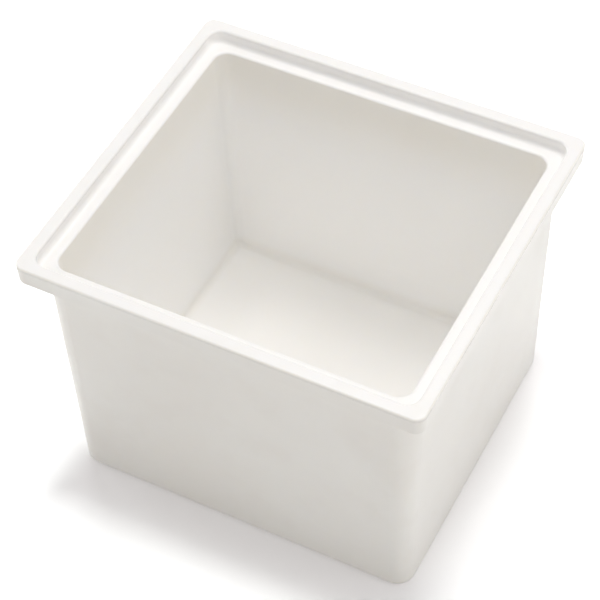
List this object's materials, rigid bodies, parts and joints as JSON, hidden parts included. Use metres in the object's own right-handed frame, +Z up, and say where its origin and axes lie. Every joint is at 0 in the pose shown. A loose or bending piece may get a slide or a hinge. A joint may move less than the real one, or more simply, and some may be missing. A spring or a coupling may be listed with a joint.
{
  "type": "resin wash tub",
  "caption": "Open rectangular wash tub with drafted thick walls, a projecting rim and a recessed seat for a lid inside its raised lip.",
  "frame": {"origin": "centre of the plane that the tub stands on", "axes": "+X along the rim's longer side, +Y towards the back, +Z up out of the tub's mouth"},
  "size_m": [0.2638, 0.2398, 0.196],
  "materials": {
    "tub_plastic": "warm white polypropylene with a fine satin mould finish"
  },
  "bodies": {
    "root": {"tub": "tub_plastic"}
  },
  "joints": []
}
